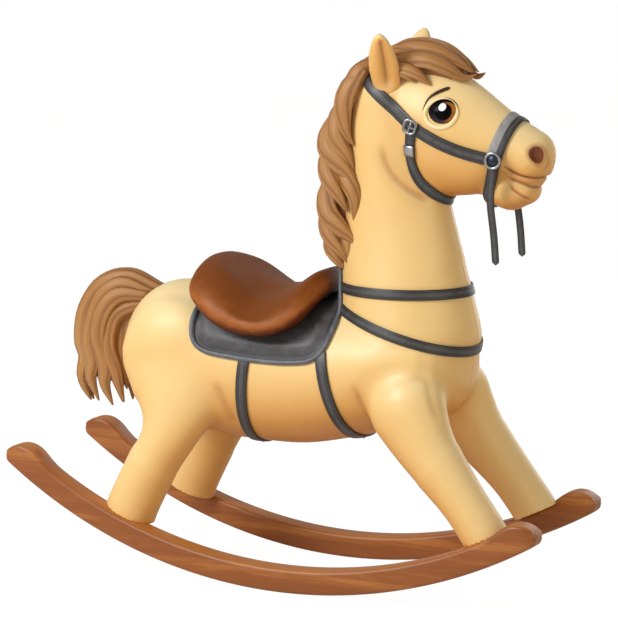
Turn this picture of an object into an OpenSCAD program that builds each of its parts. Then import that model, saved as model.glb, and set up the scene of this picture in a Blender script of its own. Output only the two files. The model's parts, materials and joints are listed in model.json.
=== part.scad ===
// Rocking horse on two bow rockers: a hollow moulded horse in two half shells over a
// plywood frame, with a padded saddle, a leather harness and a leather bridle.
// +X is towards the nose, +Y is the horse's left side, +Z is up. Millimetres.

/* [Rockers] */
// Radius of the rocking curve
rock_radius = 812; // [800:4:840]
// Length of the rockers from end to end
rocker_length = 920; // [910:2:926]
// Height of the rocker board
rocker_depth = 38; // [36:1:40]
// Thickness of the rocker board
rocker_thick = 38; // [36:1:40]
// Distance between the middle planes of the two rockers
rocker_gap = 250; // [248:1:252]
// How far the lowest point lies ahead of the middle
low_point = 34; // [28:1:40]

/* [Shell and frame] */
// Wall of the moulded shell
wall = 4; // [3:0.5:4.5]
// Thickness of the plywood keel and bulkheads
ply = 15; // [12:1:16]
// Side of the square leg posts
post = 24; // [22:1:25]

/* [Leather] */
// Width of the girths
girth_w = 18; // [16:1:20]
// Width of the bridle straps
bridle_w = 17; // [15:1:18]
// Thickness of the straps
strap_t = 3; // [2.5:0.5:3]
// Thickness of the saddle pad
pad_t = 7; // [6:1:8]
// Width of the hanging reins
rein_w = 14; // [12:1:15]

/* [Eyes] */
// Radius of the glass eye's dome
eye_r = 30; // [29:1:31]

/* [Hidden] */
$fn = 48;
SIDES = ["left", "right"];
ENDS = ["front", "rear"];

fit = 0.3;            // air between parts that lie on each other
far = 1200;           // larger than the whole horse
arc_centre = [low_point, 0, rock_radius];
top_radius = rock_radius - rocker_depth;

// Stations of the body forms: [x, z, heading, half height, half width].
TORSO = [
    [-198, 345, 0, 110, 104],
    [-130, 331, 0, 119, 106],
    [ -60, 321, 0, 113, 106],
    [  20, 319, 0, 110, 107],
    [ 100, 331, 0, 106, 109],
    [ 170, 344, 0, 100, 110],
    [ 218, 352, 0,  92, 104]];
NECK = [
    [194, 386, 96, 112, 98],
    [184, 456, 98, 104, 84],
    [172, 546, 98,  92, 68],
    [164, 626, 94,  83, 60],
    [160, 696, 90,  76, 57],
    [162, 755, 84,  66, 54]];
HEAD = [
    [192, 728,  -4, 78, 54],
    [228, 712,  -6, 95, 61],
    [270, 700,  -8, 91, 59],
    [310, 687, -11, 76, 52],
    [345, 680, -14, 58, 46],
    [370, 678, -16, 47, 43],
    [388, 671, -18, 44, 42]];
CHIN = [
    [335, 624, -4, 26, 30],
    [358, 622,  0, 30, 32],
    [378, 628,  8, 26, 30]];
// Leg stations: [x, y, z, radius, half width], from the foot up into the body.
HIND_LEG = [
    [-250, 100,  80, 42, 38],
    [-240, 100, 110, 42, 38],
    [-212,  98, 170, 46, 39],
    [-182,  90, 222, 60, 42],
    [-172,  78, 280, 80, 44],
    [-184,  66, 340, 94, 44]];
FORE_LEG = [
    [366, 100,  94, 40, 38],
    [346, 100, 124, 40, 38],
    [310,  98, 166, 44, 39],
    [254,  92, 232, 54, 42],
    [222,  84, 290, 62, 46]];
// Stations of the hair.
MANE = [
    [ 86, 512, 100, 20, 22],
    [ 88, 560,  94, 42, 44],
    [ 89, 620,  92, 47, 52],
    [ 93, 690,  90, 48, 52],
    [104, 745,  84, 46, 48],
    [126, 796,  70, 36, 38]];
FORELOCK = [
    [158, 806,   8, 28, 40],
    [192, 816,   0, 32, 42],
    [232, 812, -12, 30, 42],
    [268, 796, -24, 22, 36]];
TAIL = [
    [-268, 428, 165, 25, 20],
    [-310, 432, 195, 30, 25],
    [-342, 408, 230, 36, 30],
    [-358, 360, 258, 41, 35],
    [-358, 306, 270, 38, 33],
    [-350, 268, 276, 26, 24]];

// ---- Curves and lofts ----

function blend4(a, b, c, d, t) =
    0.5 * (2*b + (c - a)*t + (2*a - 5*b + 4*c - d)*t*t + (3*b - a - 3*c + d)*t*t*t);
function end_row(rows, i) =
    i < 0 ? 2*rows[0] - rows[1]
  : i >= len(rows) ? 2*rows[len(rows)-1] - rows[len(rows)-2]
  : rows[i];
// Rows put in between the given ones on a smooth curve, steps to a span.
function smooth_rows(rows, steps) = concat(
    [for (i = [0 : len(rows)-2], k = [0 : steps-1])
        blend4(end_row(rows, i-1), rows[i], rows[i+1], end_row(rows, i+2), k/steps)],
    [rows[len(rows)-1]]);
function ring(s, push, share, grow, sides) =
    let (n = [cos(s[2]), sin(s[2])], up = [-sin(s[2]), cos(s[2])])
    [for (k = [0 : sides-1])
        let (a = 360*k/sides, h = (s[3] + grow)*share*cos(a), w = (s[4] + grow)*share*sin(a))
        [s[0] + n[0]*push + up[0]*h, w, s[1] + n[1]*push + up[1]*h]];

// A closed form through the stations, with a rounded end of the given length at each end.
module loft(rows, tail_len, nose_len, grow = 0, sides = 16, steps = 1) {
    body = smooth_rows(rows, steps);
    first = body[0];
    last = body[len(body)-1];
    turns = [72, 45, 22];
    rings = concat(
        [for (a = turns) ring(first, -(tail_len + grow)*sin(a), cos(a), grow, sides)],
        [for (s = body) ring(s, 0, 1, grow, sides)],
        [for (i = [len(turns)-1 : -1 : 0])
            ring(last, (nose_len + grow)*sin(turns[i]), cos(turns[i]), grow, sides)]);
    points = [for (r = rings, p = r) p];
    walls = [for (i = [0 : len(rings)-2], k = [0 : sides-1])
        let (a = i*sides + k, b = i*sides + (k+1)%sides) each
        [[a, b, b + sides], [a, b + sides, a + sides]]];
    caps = [[for (k = [sides-1 : -1 : 0]) k],
            [for (k = [0 : sides-1]) (len(rings)-1)*sides + k]];
    polyhedron(points, concat(walls, caps));
}

module blob(s, grow) translate([s[0], s[1], s[2]])
    scale([s[3] + grow, s[4] + grow, s[3] + grow]) sphere(1, $fn = 12);

module leg(rows, grow) for (i = [0 : len(rows)-2])
    hull() {
        blob(rows[i], grow);
        blob(rows[i+1], grow);
    }

module both_sides() {
    children();
    mirror([0, 1, 0]) children();
}
module on_side(side) if (side == "left") children(); else mirror([0, 1, 0]) children();
module half_space(side) on_side(side) translate([-far/2, 0, -far/2]) cube([far, far, 2*far]);
// A slab across the whole horse, through [x, z], turned and w wide.
module slab(at, turn, w, long = far, back = 0) translate([at[0], 0, at[1]]) rotate([0, turn, 0])
    translate([-back, -far/2, -w/2]) cube([long, far, w]);
// A flat outline in X and Z, carried across the whole horse.
module across(thick = far) rotate([90, 0, 0]) linear_extrude(thick, center = true) children();

// Everything above the rockers' curved top.
module above_rockers(grow = 0) translate(arc_centre) rotate([90, 0, 0])
    cylinder(r = top_radius + grow, h = far, center = true, $fn = 180);

module trunk(grow = 0) loft(TORSO, 100, 78, grow, 22);
module neck(grow = 0) loft(NECK, 60, 48, grow);
module head(grow = 0) {
    loft(HEAD, 60, 34, grow);
    loft(CHIN, 24, 24, grow, 12);
}
module legs(grow = 0) both_sides() {
    leg(HIND_LEG, grow);
    leg(FORE_LEG, grow);
}
module horse_form(grow = 0) intersection() {
    union() {
        trunk(grow);
        neck(grow);
        head(grow);
        legs(grow);
    }
    above_rockers(min(grow, -0.1));
}

// A layer that lies on the horse, from inner to outer above its skin, kept to the children.
module worn(inner, outer) difference() {
    intersection() {
        horse_form(outer);
        children();
    }
    horse_form(inner);
}

// ---- Rockers ----

end_round = 24;       // rounding of a rocker's end on its upper side
edge_round = 5;       // rounding along a rocker's edges
heel = asin((rocker_length/2 + low_point)/rock_radius);  // angle to the rear end
toe = asin((rocker_length/2 - low_point)/rock_radius);   // angle to the front end

// The rocker's section, with an arc at each corner.
module rocker_section() polygon([
    for (c = [[rock_radius - edge_round, rocker_thick/2 - edge_round, 0],
              [top_radius + edge_round, rocker_thick/2 - edge_round, 90],
              [top_radius + edge_round, -rocker_thick/2 + edge_round, 180],
              [rock_radius - edge_round, -rocker_thick/2 + edge_round, 270]], a = [0 : 30 : 90])
        [c[0] + edge_round*cos(a + c[2]), c[1] + edge_round*sin(a + c[2])]]);
module rocker_bar() translate(arc_centre) rotate([-90, 0, 0]) rotate([0, 0, 90 - toe])
    rotate_extrude(angle = toe + heel, $fn = 360) rocker_section();

// What rounds the upper corner of a rocker's end, at the given angle from the lowest point.
module end_cutter(angle, way) translate(arc_centre) rotate([0, -angle, 0])
    translate([0, 0, -rock_radius]) difference() {
        translate([way > 0 ? -end_round : -far/20, -rocker_thick, rocker_depth - end_round])
            cube([end_round + far/20, 2*rocker_thick, end_round + 20]);
        translate([-way*end_round, 0, rocker_depth - end_round]) rotate([90, 0, 0])
            cylinder(r = end_round, h = 3*rocker_thick, center = true);
    }

module rocker(side) color("sienna") difference() {
    on_side(side) translate([0, rocker_gap/2, 0]) difference() {
        rocker_bar();
        end_cutter(toe, 1);
        end_cutter(-heel, -1);
    }
    for (e = ENDS) bolt_bores(e, side);
}

// ---- Leg posts and their bolts ----

post_y = 118;
FRONT_FOOT = [364, post_y, 104];
REAR_FOOT = [-258, post_y, 92];
FRONT_HIP = [214, 86, 296];
REAR_HIP = [-186, 84, 290];
function foot_of(e) = e == "front" ? FRONT_FOOT : REAR_FOOT;
function hip_of(e) = e == "front" ? FRONT_HIP : REAR_HIP;

// Puts +Z along a post, with zero where the post stands on its rocker.
module along_post(e, side) on_side(side) {
    way = hip_of(e) - foot_of(e);
    turn = atan2(way[1], way[0]);
    translate(foot_of(e)) rotate([0, acos(way[2]/norm(way)), turn])
        rotate([0, 0, -turn]) children();
}
bolt_r = 4;
washer_r = 8.5;
bolt_seat = 20;       // how far below the post's foot the bolt head bears
nut_at = 44;          // height of the barrel nut in the post
module bolt_bores(e, side) along_post(e, side) {
    translate([0, 0, -80]) cylinder(r = bolt_r + fit, h = 200);
    translate([0, 0, -80 - bolt_seat]) cylinder(r = washer_r + 0.5, h = 80);
}

front_wall = 196;     // rear face of the front bulkhead
rear_wall = -196;     // rear face of the rear bulkhead
module post_bar(grow = 0) translate([-post/2 - grow, -post/2 - grow, -40])
    cube([post + 2*grow, post + 2*grow, 280]);
module post_side(e) translate([e == "front" ? front_wall + ply + 0.1 : -far - 0.1 + rear_wall,
                               -far/2, -far/2]) cube([far, far, 2*far]);
module leg_post(e, side) color("burlywood") difference() {
    intersection() {
        along_post(e, side) post_bar();
        above_rockers(-0.1);
        post_side(e);
    }
    along_post(e, side) {
        translate([0, 0, -60]) cylinder(r = bolt_r + fit, h = 60 + nut_at + 20);
        translate([0, 0, nut_at]) rotate([90, 0, 0]) cylinder(r = 6, h = 2*post, center = true);
    }
    on_side(side) post_screw(e, 0.1);
}
module all_posts() for (e = ENDS, s = SIDES) along_post(e, s) children();

module leg_bolts() color("silver") all_posts() {
    translate([0, 0, -bolt_seat - 3]) cylinder(r = bolt_r, h = bolt_seat + nut_at + 11);
    translate([0, 0, -bolt_seat - 7.2]) cylinder(r = 7.4, h = 5.3, $fn = 6);
}
module leg_bolt_washers() color("silver") all_posts() translate([0, 0, -bolt_seat - 1.7])
    difference() {
        cylinder(r = washer_r, h = 1.6);
        translate([0, 0, -1]) cylinder(r = bolt_r + 0.2, h = 4);
    }
module leg_barrel_nuts() color("silver") all_posts() translate([0, 0, nut_at])
    difference() {
        rotate([90, 0, 0]) cylinder(r = 5.9, h = 18, center = true);
        translate([0, 0, -10]) cylinder(r = bolt_r + 0.1, h = 20);
    }

// A countersunk wood screw along +X, its head's face at zero.
screw_r = 2.5;
module wood_screw(long, grow = 0) rotate([0, 90, 0]) {
    cylinder(r = screw_r + grow, h = long);
    cylinder(r1 = 5 + grow, r2 = screw_r + grow, h = 3.5 + grow);
    translate([0, 0, -1]) cylinder(r = 5 + grow, h = 1);
}
// The screw that holds a post's top to its bulkhead.
module post_screw(e, grow = 0) {
    way = hip_of(e) - foot_of(e);
    face = e == "front" ? front_wall + ply : rear_wall;
    at = foot_of(e) + way*(face - foot_of(e)[0])/way[0];
    if (e == "front")
        translate([front_wall - 1, at[1], at[2]]) wood_screw(44, grow);
    else
        translate([rear_wall + ply + 1, at[1], at[2] - 10]) mirror([1, 0, 0]) wood_screw(30, grow);
}
module post_screws() color("silver") both_sides() for (e = ENDS) post_screw(e);

// ---- Frame ----

cut = 0.15;           // clearance in the halving joints
bulkhead_foot = 262;  // height of the bulkheads' lower edge
module bulkhead_blank(e) {
    at = e == "front" ? front_wall : rear_wall;
    intersection() {
        horse_form(-wall - fit);
        translate([at, -far/2, bulkhead_foot]) cube([ply, far, 172]);
    }
}
module bulkhead(e) color("tan") difference() {
    bulkhead_blank(e);
    translate([-far/2, -ply/2 - cut, 350]) cube([far, ply + 2*cut, far]);
    both_sides() post_screw(e, 0.1);
    shell_screws_at() wood_screw(24, 0.1);
}
module keel_board() color("tan") difference() {
    intersection() {
        horse_form(-wall - fit);
        translate([-far/2, -ply/2, 226]) cube([far, ply, far]);
    }
    for (x = [front_wall, rear_wall]) translate([x - cut, -ply, 0])
        cube([ply + 2*cut, 2*ply, 350 + 0.2]);
    tail_peg_form(0.1);
    saddle_bolt_places() cylinder(r = 3.1, h = 200, center = true);
    // Windows that take weight out of the board.
    for (x = [-110, 0, 110]) translate([x, 0, 318]) rotate([90, 0, 0])
        cylinder(r = 38, h = 2*ply, center = true);
    for (z = [500, 600, 690]) translate([168, 0, z]) rotate([90, 0, 0])
        cylinder(r = 34, h = 2*ply, center = true);
}

// ---- Shells ----

// The shell's screws sit under filler, in the edges of the bulkheads.
module shell_screws_at() for (side = SIDES, e = ENDS) on_side(side)
    translate(e == "front" ? [front_wall + ply/2, 101.2, 372] : [rear_wall + ply/2, 104.6, 372])
        rotate([0, 0, -90]) children();
module shell_screws() color("silver") shell_screws_at() wood_screw(24);

EYE = [262, 34, 742];
eye_back = 6;         // how far the eye's flat back lies behind its centre
module eye_ball(side, grow = 0) on_side(side) translate(EYE) sphere(eye_r + grow, $fn = 64);
module body_shell(side) color("moccasin") difference() {
    intersection() {
        horse_form();
        half_space(side);
    }
    horse_form(-wall);
    eye_ball(side, 0.3);
    tail_peg_form(fit);
    shell_screws_at() wood_screw(24, 0.15);
    saddle_bolt_places() cylinder(r = 3.4, h = 100, center = true);
    all_posts() post_bar(fit);
    girth_tack_forms(0.1);
}

// ---- Head ----

module ear_form(grow = 0) hull() {
    translate([168, 42, 782]) scale([1, 0.7, 1]) sphere(19 + grow, $fn = 24);
    translate([170, 60, 815]) scale([1, 0.55, 1]) sphere(21 + grow, $fn = 24);
    translate([174, 87, 855]) scale([1, 0.8, 1]) sphere(5 + grow, $fn = 24);
}
module ear(side) color("moccasin") difference() {
    on_side(side) ear_form();
    horse_form(fit);
    crown_band(strap_t + 2*fit);
}
module eye(side) color("black") on_side(side) translate(EYE) rotate([-90, 0, 0])
    rotate_extrude() polygon(concat([[0, -eye_back]],
        [for (a = [-asin(eye_back/eye_r) : (90 + asin(eye_back/eye_r))/9 : 90.01])
            eye_r*[max(cos(a), 0), sin(a)]]));
module eye_disc(side, r) on_side(side) translate(EYE) rotate([-90, 0, 0]) cylinder(r = r, h = 60);
module eyelid(side) color("wheat") difference() {
    worn(fit, 3) eye_disc(side, 27);
    eye_ball(side, 0.4);
}
module brow(side) color("saddlebrown") difference() {
    worn(fit, 2) on_side(side) translate([251, 20, 770.5]) rotate([0, -38, 0])
        translate([-17, 0, -2.5]) cube([34, 60, 5]);
    eye_disc(side, 27.5);
    eye_ball(side, 0.4);
}

module mane() color("peru") difference() {
    intersection() {
        loft(MANE, 24, 26, 0, 14, 1);
        translate([-far, -far/2, 0]) cube([far + 138, far, far]);
    }
    horse_form(fit);
    crown_band(strap_t + 2*fit);
    both_sides() ear_form(0.5);
}
module forelock() color("peru") difference() {
    intersection() {
        loft(FORELOCK, 20, 30, 0, 14, 1);
        translate([138.3, -far/2, 0]) cube([far, far, far]);
    }
    horse_form(fit);
    crown_band(strap_t + 2*fit);
    both_sides() ear_form(0.5);
}
module tail() color("peru") difference() {
    loft(TAIL, 16, 30, 0, 14, 1);
    horse_form(fit);
    tail_peg_form(0.1);
}
module tail_peg_form(grow = 0) translate([-262, 0, 421]) rotate([0, -74, 0])
    cylinder(r = 8 + grow, h = 58 + grow);
module tail_peg() color("tan") tail_peg_form();

// ---- Saddle ----

// Outline of the saddle in X and Z.
SADDLE = [
    [-146, 499], [-122, 496], [-84, 476], [-34, 458], [12, 461], [40, 480], [60, 493],
    [72, 480], [64, 444], [40, 408], [-8, 390], [-66, 396], [-118, 424], [-156, 464]];
PAD = [[-140, 480], [-138, 392], [-116, 359], [-5, 350], [84, 363], [112, 416], [104, 480]];
function closed_curve(points, steps) = let (n = len(points))
    [for (i = [0 : n-1], k = [0 : steps-1])
        blend4(points[(i+n-1)%n], points[i], points[(i+1)%n], points[(i+2)%n], k/steps)];
module saddle_outline() polygon(closed_curve(SADDLE, 3));
module pad_outline(inset = 0) offset(delta = -inset, $fn = 24)
    offset(r = 12, $fn = 24) offset(delta = -12) polygon(PAD);

board_t = 6;
pad_top = fit + pad_t;
board_top = pad_top + fit + board_t;
// Stations of the saddle's upper side, from the cantle to the pommel.
SEAT = [
    [-140, 420, 0,  80, 112],
    [-100, 416, 0,  82, 126],
    [ -40, 404, 0,  61, 130],
    [  10, 404, 0,  61, 130],
    [  50, 412, 0,  82, 118]];
module saddle_seat() color("saddlebrown") difference() {
    intersection() {
        loft(SEAT, 20, 24, 0, 20, 2);
        across() saddle_outline();
    }
    horse_form(board_top + fit);
    saddle_bolt_places() translate([0, 0, -100]) cylinder(r = 8, h = 106);
}
module saddle_board() color("tan") difference() {
    worn(pad_top + fit, board_top) intersection() {
        across() offset(delta = -16) saddle_outline();
        translate([-far/2, -84, 0]) cube([far, 168, far]);
    }
    saddle_bolt_places() cylinder(r = 3.4, h = 200, center = true);
}
module saddle_bolt_places() for (p = [[-80, 453.4], [24, 444]]) translate([p[0], 0, p[1]]) children();
module saddle_bolts() color("silver") saddle_bolt_places() {
    translate([0, 0, -44]) cylinder(r = 3, h = 46);
    translate([0, 0, 0.4]) cylinder(r = 7, h = 3);
}
module saddle_pad() color("dimgray") difference() {
    worn(fit, pad_top) across() pad_outline(6.2);
    saddle_bolt_places() cylinder(r = 3.4, h = 200, center = true);
}
module pad_piping() color("gray") worn(fit, pad_top + 1.5) across() difference() {
    pad_outline();
    pad_outline(6);
}

// ---- Harness ----

// Ends a strap where the saddle pad begins.
module clear_of_pad() difference() {
    children();
    across() pad_outline(-fit);
}
module girth(x, turn) color("dimgray") difference() {
    clear_of_pad() worn(fit, fit + strap_t) slab([x, 372], turn, girth_w, 240);
    girth_tack_forms(0.1);
}
module girth_front() girth(86, 78);
module girth_rear() girth(-44, 95);
module girth_tack_forms(grow = 0) for (at = [[-58.5, 204.1], [118, 222.7]], y = [-12, 12])
    translate([at[0], y, at[1]]) {
        cylinder(r = 1 + grow, h = 11 + grow);
        translate([0, 0, -1.2]) cylinder(r1 = 2, r2 = 3 + grow, h = 1.2 + grow);
    }
module girth_tacks() color("silver") girth_tack_forms();
module breast_strap(at, turn) color("dimgray") clear_of_pad() worn(fit, fit + strap_t)
    slab(at, turn, girth_w);
module breast_strap_upper() breast_strap([100, 470], -1);
module breast_strap_lower() breast_strap([100, 434], 15);

// ---- Bridle ----

BUCKLE = [217, 718];
RING = [346, 672];
cheek_turn = atan2(BUCKLE[1] - RING[1], RING[0] - BUCKLE[0]);
nose_turn = -72;
chin_turn = 96;
strap_out = fit + strap_t;
module crown_band(out) intersection() {
    horse_form(out);
    slab(BUCKLE, 218, bridle_w + 2*(out - strap_out), far, -8);
    translate([60, -far/2, 700]) cube([far, far, far]);
}
module crown_strap() color("dimgray") worn(fit, strap_out) intersection() {
    slab(BUCKLE, 218, bridle_w, far, -8);
    translate([60, -far/2, 700]) cube([far, far, far]);
}
module throat_latch() color("dimgray") worn(fit, strap_out)
    slab([BUCKLE[0] + 4, BUCKLE[1] - 18], 74, bridle_w - 3, 112);
module cheek_strap(side) color("dimgray") worn(fit, strap_out) intersection() {
    slab(BUCKLE, cheek_turn, bridle_w, norm(RING - BUCKLE) - 24, -8);
    half_space(side);
}
module noseband_liner() color("gray") worn(fit, 2) slab(RING, nose_turn, 25, far, 10);
module noseband() color("dimgray") worn(2 + fit, 2 + strap_out) slab(RING, nose_turn, 17, far, 12);
module chin_strap() color("dimgray") worn(fit, strap_out)
    slab(RING, chin_turn, bridle_w - 2, 90, -16);

// The buckles, rings and reins hang beside the head, at their own heights from its middle.
buckle_y = 68;
frame_side = 21;
bar_r = 1.3;
module at_buckle(side) on_side(side) translate([BUCKLE[0], buckle_y, BUCKLE[1]])
    rotate([0, cheek_turn, 0]) children();
module cheek_buckle(side) color("silver") at_buckle(side) {
    difference() {
        cube([frame_side, 3, frame_side], center = true);
        cube([frame_side - 6, 4, frame_side - 6], center = true);
    }
    cylinder(r = bar_r, h = frame_side - 5, center = true);
}
module cheek_buckle_tongue(side) color("silver") at_buckle(side) difference() {
    union() {
        cylinder(r = 2.7, h = 3.4, center = true);
        translate([0, 1.65, -1.2]) cube([10.8, 1.2, 2.4]);
    }
    cylinder(r = bar_r + 0.15, h = 10, center = true);
}
module throat_keeper(side) color("silver") difference() {
    worn(strap_out + 0.2, strap_out + 2) slab([BUCKLE[0] + 12, BUCKLE[1] - 44], 74, 19, 9);
    half_space(side == "left" ? "right" : "left");
}
ring_y = 55.9;        // middle of the nose ring
ring_r = 11.2;
module at_ring(side) on_side(side) translate([RING[0], ring_y, RING[1]]) rotate([90, 0, 0])
    children();
module nose_ring(side) color("silver") at_ring(side) {
    rotate_extrude() translate([ring_r, 0]) circle(2, $fn = 24);
    for (a = [40, 140]) rotate([0, 0, a]) translate([ring_r, 0, 0]) cylinder(r = 1, h = 4.8);
}
module nose_stud(side) color("dimgray") at_ring(side) {
    translate([0, 0, 1]) cylinder(r = 2.5, h = 3.8);
    translate([0, 0, 0.5]) cylinder(r = 6, h = 1.5);
}
rein_t = 2.2;
rein_long = 156;
module rein(side) color("dimgray") at_ring(side) translate([0, 0, 2.25]) {
    difference() {
        union() {
            cylinder(r = rein_w/2, h = rein_t);
            translate([-rein_w/2, -rein_long + rein_w/2, 0])
                cube([rein_w, rein_long - rein_w/2, rein_t]);
            translate([0, -rein_long + rein_w/2, 0]) cylinder(r = rein_w/2, h = rein_t);
        }
        translate([0, 0, -1]) cylinder(r = 2.7, h = 6);
    }
}

// ---- Nodes ----

module sided(name) for (s = SIDES) union() {
    $side = s;
    children();
}
sided("rocker") rocker($side);
sided("body_shell") body_shell($side);
keel_board();
for (e = ENDS) {
    bulkhead(e);
    sided(str("leg_post_", e)) leg_post(e, $side);
}
leg_bolts();
leg_bolt_washers();
leg_barrel_nuts();
post_screws();
shell_screws();
sided("ear") ear($side);
sided("eye") eye($side);
sided("eyelid") eyelid($side);
sided("brow") brow($side);
mane();
forelock();
tail();
tail_peg();
saddle_seat();
saddle_board();
saddle_bolts();
saddle_pad();
pad_piping();
girth_front();
girth_rear();
girth_tacks();
breast_strap_upper();
breast_strap_lower();
crown_strap();
throat_latch();
noseband();
noseband_liner();
chin_strap();
sided("cheek_strap") cheek_strap($side);
sided("cheek_buckle") cheek_buckle($side);
sided("cheek_buckle_tongue") cheek_buckle_tongue($side);
sided("throat_keeper") throat_keeper($side);
sided("nose_ring") nose_ring($side);
sided("nose_stud") nose_stud($side);
sided("rein") rein($side);
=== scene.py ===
"""Rocking horse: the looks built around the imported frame.
+X is towards the nose, +Y is the horse's left side, +Z is up."""

import json
from math import atan2, cos, exp, pi, radians, sin, sqrt

import bmesh
import bpy
from mathutils import Matrix, Vector
from mathutils.bvhtree import BVHTree
from mathutils.kdtree import KDTree


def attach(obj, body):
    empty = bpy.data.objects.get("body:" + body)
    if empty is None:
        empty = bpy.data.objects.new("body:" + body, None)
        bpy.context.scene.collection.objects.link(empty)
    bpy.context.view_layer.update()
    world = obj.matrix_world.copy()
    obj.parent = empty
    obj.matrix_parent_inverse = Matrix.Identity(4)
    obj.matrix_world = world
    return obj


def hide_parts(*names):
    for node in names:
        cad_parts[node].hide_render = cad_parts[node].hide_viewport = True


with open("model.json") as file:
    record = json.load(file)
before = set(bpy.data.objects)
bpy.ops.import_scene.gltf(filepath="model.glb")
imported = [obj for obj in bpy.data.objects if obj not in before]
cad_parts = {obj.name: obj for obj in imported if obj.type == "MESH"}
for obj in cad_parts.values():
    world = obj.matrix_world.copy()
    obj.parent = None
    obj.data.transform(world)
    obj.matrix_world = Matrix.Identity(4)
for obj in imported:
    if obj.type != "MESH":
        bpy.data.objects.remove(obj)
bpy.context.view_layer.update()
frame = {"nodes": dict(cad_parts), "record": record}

MM = 0.001
SIDES = {"left": 1, "right": -1}
SLOTS = {part["node"]: part["material_slot"] for part in frame["record"]["subparts"]}

# Stations of the body forms, in millimetres: x, z, heading in degrees, half height, half width.
TORSO = [(-198, 345, 0, 110, 104), (-130, 331, 0, 119, 106), (-60, 321, 0, 113, 106),
         (20, 319, 0, 110, 107), (100, 331, 0, 106, 109), (170, 344, 0, 100, 110),
         (218, 352, 0, 92, 104)]
NECK = [(194, 386, 96, 112, 98), (184, 456, 98, 104, 84), (172, 546, 98, 92, 68),
        (164, 626, 94, 83, 60), (160, 696, 90, 76, 57), (162, 755, 84, 66, 54)]
HEAD = [(192, 728, -4, 78, 54), (228, 712, -6, 95, 61), (270, 700, -8, 91, 59),
        (310, 687, -11, 76, 52), (345, 680, -14, 58, 46), (370, 678, -16, 47, 43),
        (388, 671, -18, 44, 42)]
CHIN = [(335, 624, -4, 26, 30), (358, 622, 0, 30, 32), (378, 628, 8, 26, 30)]
# The legs' stations, from the foot up into the body, end with their distance from the middle plane.
HIND_LEG = [(-252, 80, 75, 42, 38, 100), (-240, 110, 70, 42, 38, 100), (-209, 170, 64, 42, 39, 98),
            (-180, 222, 72, 47, 42, 90), (-172, 280, 91, 78, 44, 78), (-184, 340, 101, 94, 44, 66)]
FORE_LEG = [(372, 94, 122, 35, 38, 100), (352, 124, 127, 35, 38, 100), (318, 168, 131, 36, 39, 98),
            (263, 232, 127, 47, 43, 93), (226, 290, 119, 64, 48, 85)]
ROCK_RADIUS = 812
ROCKER_DEPTH = 38
ROCKER_THICK = 38
ROCKER_Y = 125
ARC_CENTRE = Vector((34, 0, ROCK_RADIUS))
FEET = {"front": Vector((364, 118, 104)), "rear": Vector((-258, 118, 92))}
SHELL_WALL, SEAM_WIDE, SEAM_DEEP = 4, 1.2, 0.9
GIRTH_WIDE, BREAST_WIDE = 18, 15.5
REIN_LONG, REIN_THICK, REIN_Y = 156, 2.2, 52.7
ROCKER_REACH = 460
EYE = Vector((262, 34, 742))
BUCKLE = Vector((217, 68, 718))
RING = Vector((346, 55.9, 672))


# ---- Curves ----

def smooth_line(rows, steps):
    """Rows on a smooth curve through the given ones, steps to a span."""
    rows = [Vector(row) for row in rows]
    ends = [2 * rows[0] - rows[1], *rows, 2 * rows[-1] - rows[-2]]
    out = []
    for a, b, c, d in zip(ends, ends[1:], ends[2:], ends[3:]):
        for step in range(steps):
            t = step / steps
            out.append(0.5 * (2 * b + (c - a) * t + (2 * a - 5 * b + 4 * c - d) * t ** 2
                              + (3 * b - a - 3 * c + d) * t ** 3))
    return out + [rows[-1]]


def evenly(points, count):
    """That many points, evenly spaced along the line through the given points."""
    marks = [0.0]
    for a, b in zip(points, points[1:]):
        marks.append(marks[-1] + (b - a).length)
    out, i = [], 0
    for k in range(count):
        at = marks[-1] * k / (count - 1)
        while i < len(points) - 2 and marks[i + 1] < at:
            i += 1
        span = marks[i + 1] - marks[i]
        share = (at - marks[i]) / span if span > 0 else 0
        out.append(points[i].lerp(points[i + 1], min(max(share, 0), 1)))
    return out


def side_line(guide):
    """A smooth line in the middle plane through places in X and Z."""
    return smooth_line([(x, 0, z) for x, z in guide], 8)


def on_side(points, side):
    """Points of the right side, brought to the side asked for."""
    return [Vector((p.x, p.y * -side, p.z)) for p in points]


def folded(p):
    """A place brought to the right side."""
    return Vector((p.x, -abs(p.y), p.z))


def turns(count):
    return [2 * pi * k / count for k in range(count)]


def bell(distance, width):
    return exp(-(distance / width) ** 2)


def eased(value, low, high):
    t = min(max((value - low) / (high - low), 0), 1)
    return t * t * (3 - 2 * t)


def round_end(distance, radius, least):
    """The share of the full width at a distance from a round end."""
    return sqrt(max(1 - (1 - min(distance / radius, 1)) ** 2, least))


def tree_of(points):
    tree = KDTree(len(points))
    for i, p in enumerate(points):
        tree.insert(p, i)
    tree.balance()
    return tree


# ---- Meshes ----

def first_row(bm, places, closed):
    if closed:
        row = bmesh.ops.create_circle(bm, segments=len(places), radius=MM)["verts"]
    else:
        row = [bm.verts.new(p) for p in places]
        for pair in zip(row, row[1:]):
            bm.edges.new(pair)
    for v, p in zip(row, places):
        v.co = p
    return row


def edges_of(bm, row, closed):
    return [bm.edges.get(pair) for pair in zip(row, row[1:] + row[:1] if closed else row[1:])]


def next_row(bm, row, places, closed):
    """Extrudes a row of vertices to the next places, and returns the new row."""
    made = bmesh.ops.extrude_edge_only(bm, edges=edges_of(bm, row, closed))["geom"]
    made = {g for g in made if isinstance(g, bmesh.types.BMVert)}
    new = [next(w for w in (e.other_vert(v) for e in v.link_edges) if w in made) for v in row]
    for v, p in zip(new, places):
        v.co = p
    return new


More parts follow.
